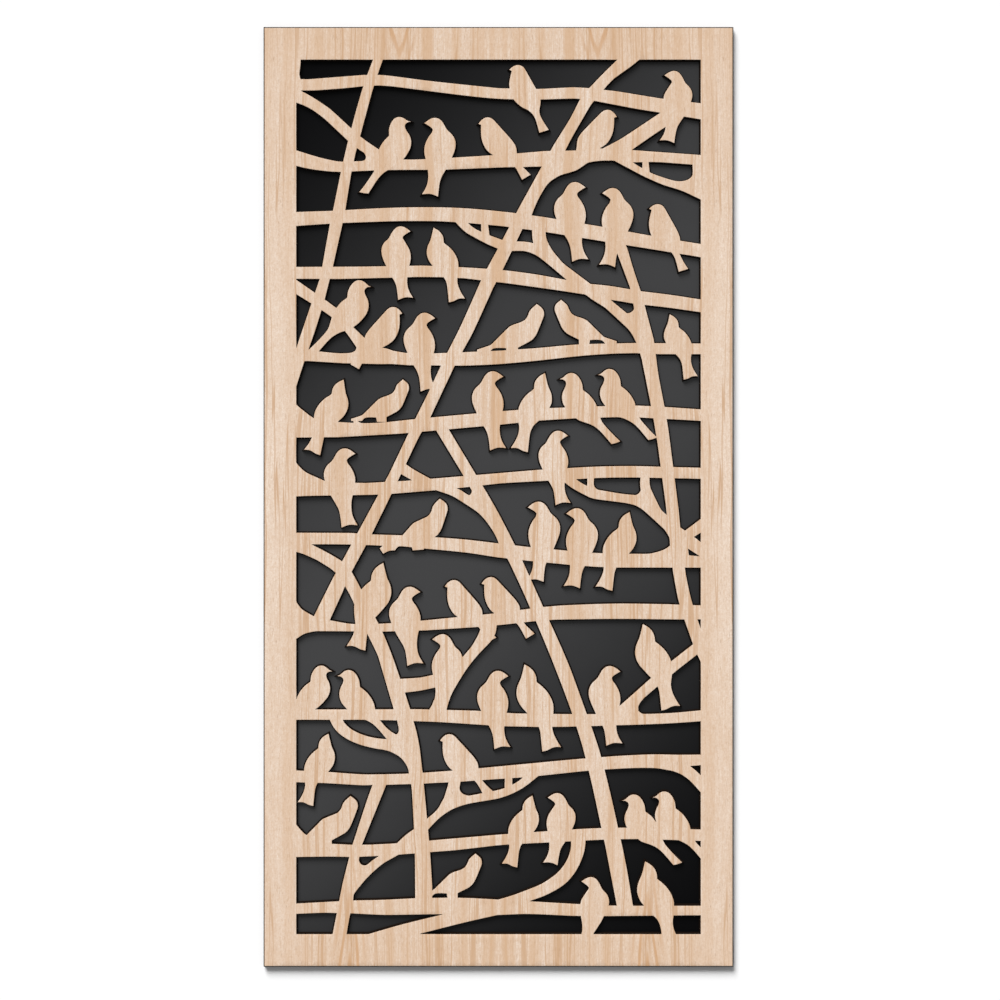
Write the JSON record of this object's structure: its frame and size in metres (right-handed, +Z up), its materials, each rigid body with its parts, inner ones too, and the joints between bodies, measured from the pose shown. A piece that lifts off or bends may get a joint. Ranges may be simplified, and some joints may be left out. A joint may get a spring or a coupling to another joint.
{
  "type": "openwork wall panel",
  "caption": "Tall flat wall panel: a thin wooden sheet cut right through with songbirds perched on crossing branches inside a plain border, fixed on a black board.",
  "frame": {"origin": "centre of the flat back face, which lies against the wall", "axes": "+Z up along the panel's long side, +X to the right as seen from the front, -Y out of the front, +Y into the wall"},
  "size_m": [0.6, 0.009, 1.2],
  "materials": {
    "pale_wood": "pale straight-grained veneer, satin, with dark scorched cut edges",
    "black_board": "fibreboard painted black, satin"
  },
  "bodies": {
    "root": {"openwork_sheet": "pale_wood", "backing_board": "black_board"}
  },
  "joints": []
}
